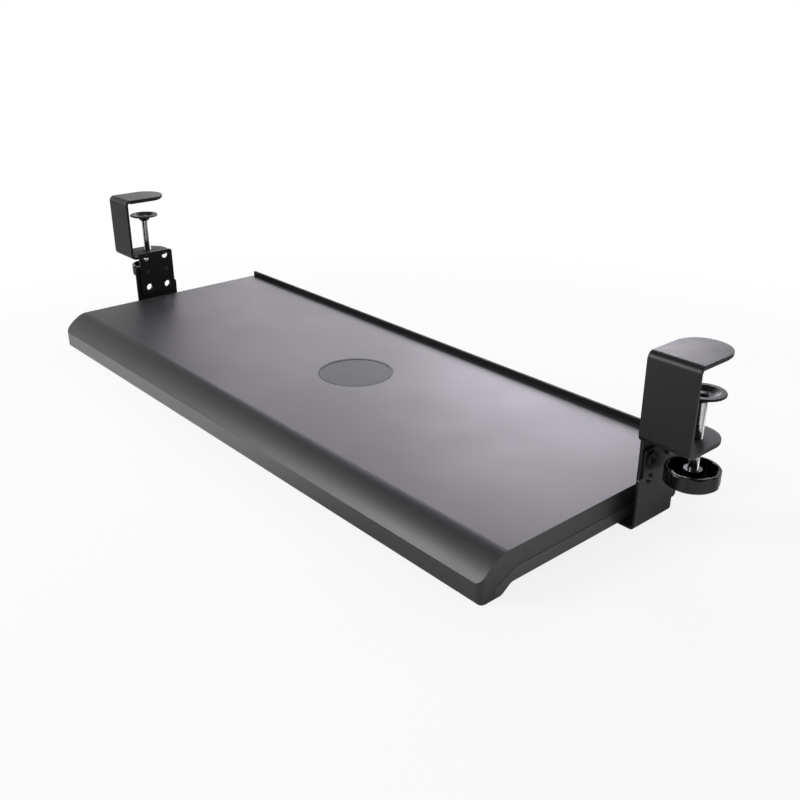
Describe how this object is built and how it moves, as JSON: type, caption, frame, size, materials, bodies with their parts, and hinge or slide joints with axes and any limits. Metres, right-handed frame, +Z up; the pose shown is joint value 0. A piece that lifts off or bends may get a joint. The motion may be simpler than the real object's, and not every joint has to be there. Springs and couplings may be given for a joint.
{
  "type": "clamp-on sliding keyboard tray",
  "caption": "Keyboard tray that slides under a desk: hollow moulded tray with a rolled front lip, on ball slides that hang from screw clamps for the desk edge.",
  "frame": {"origin": "middle of the footprint, at the height of the underside of the tray's front lip", "axes": "+X along the tray from left to right, +Y from the front lip to the back edge, +Z up"},
  "size_m": [0.788, 0.261, 0.1519],
  "materials": {
    "tray_abs": "moulded ABS, satin",
    "lower_abs": "moulded ABS, satin",
    "strip_plastic": "moulded, matt",
    "disc_plastic": "satin",
    "black_oxide_steel": "black oxide",
    "zinc_steel": "zinc plated",
    "bearing_steel": "polished",
    "powder_coat": "black powder coat, satin",
    "rubber_pad": "matt",
    "screw_steel": "bright zinc",
    "pad_plastic": "moulded",
    "knob_plastic": "moulded"
  },
  "bodies": {
    "tray": {"tray_top_shell": "tray_abs", "tray_bottom_shell": "lower_abs", "back_strip": "strip_plastic", "centre_disc": "disc_plastic", "shell_screws": "black_oxide_steel", "rail_left": "zinc_steel", "rail_screws_left": "zinc_steel", "rail_end_caps_left": "strip_plastic", "rail_right": "zinc_steel", "rail_screws_right": "zinc_steel", "rail_end_caps_right": "strip_plastic"},
    "left_cage": {"ball_cage_left": "zinc_steel", "bearing_balls_left": "bearing_steel"},
    "left_clamp": {"carriage_left": "zinc_steel", "carriage_screws_left": "zinc_steel", "l_bracket_left": "powder_coat", "height_bolts_left": "black_oxide_steel", "hole_plate_left": "powder_coat", "clamp_frame_left": "powder_coat", "jaw_pad_left": "rubber_pad", "weld_nut_left": "powder_coat"},
    "left_pad": {"swivel_pad_left": "pad_plastic"},
    "left_screw": {"clamp_screw_left": "screw_steel", "knob_left": "knob_plastic"},
    "right_cage": {"ball_cage_right": "zinc_steel", "bearing_balls_right": "bearing_steel"},
    "right_clamp": {"carriage_right": "zinc_steel", "carriage_screws_right": "zinc_steel", "l_bracket_right": "powder_coat", "height_bolts_right": "black_oxide_steel", "hole_plate_right": "powder_coat", "clamp_frame_right": "powder_coat", "jaw_pad_right": "rubber_pad", "weld_nut_right": "powder_coat"},
    "right_pad": {"swivel_pad_right": "pad_plastic"},
    "right_screw": {"clamp_screw_right": "screw_steel", "knob_right": "knob_plastic"}
  },
  "joints": [
    {"name": "left_slide", "type": "slide", "parent": "tray", "child": "left_clamp", "axis": [0, 1, 0], "range_m": [-0.0605, 0.0995]},
    {"name": "left_cage_travel", "type": "slide", "parent": "tray", "child": "left_cage", "axis": [0, 1, 0], "range_m": [-0.03026, 0.04976]},
    {"name": "left_pad_lift", "type": "slide", "parent": "left_clamp", "child": "left_pad", "axis": [0, 0, 1], "range_m": [-0.0365, 0.01]},
    {"name": "left_screw_turn", "type": "hinge", "parent": "left_pad", "child": "left_screw", "pos_m": [-0.373, 0, 0.12057], "axis": [0, 0, 1], "range_deg": [-10517, 2885]},
    {"name": "right_slide", "type": "slide", "parent": "tray", "child": "right_clamp", "axis": [0, 1, 0], "range_m": [-0.1095, 0.0505]},
    {"name": "right_cage_travel", "type": "slide", "parent": "tray", "child": "right_cage", "axis": [0, 1, 0], "range_m": [-0.05476, 0.02526]},
    {"name": "right_pad_lift", "type": "slide", "parent": "right_clamp", "child": "right_pad", "axis": [0, 0, 1], "range_m": [-0.0295, 0.017]},
    {"name": "right_screw_turn", "type": "hinge", "parent": "right_pad", "child": "right_screw", "pos_m": [0.373, 0.052, 0.11356], "axis": [0, 0, 1], "range_deg": [-8501, 4901]}
  ],
  "couplings": [
    {"joint": "left_cage_travel", "follows": "left_slide", "ratio": 0.5},
    {"joint": "left_screw_turn", "follows": "left_pad_lift", "rad_per_m": 5026.5},
    {"joint": "right_cage_travel", "follows": "right_slide", "ratio": 0.5},
    {"joint": "right_screw_turn", "follows": "right_pad_lift", "rad_per_m": 5026.5}
  ]
}
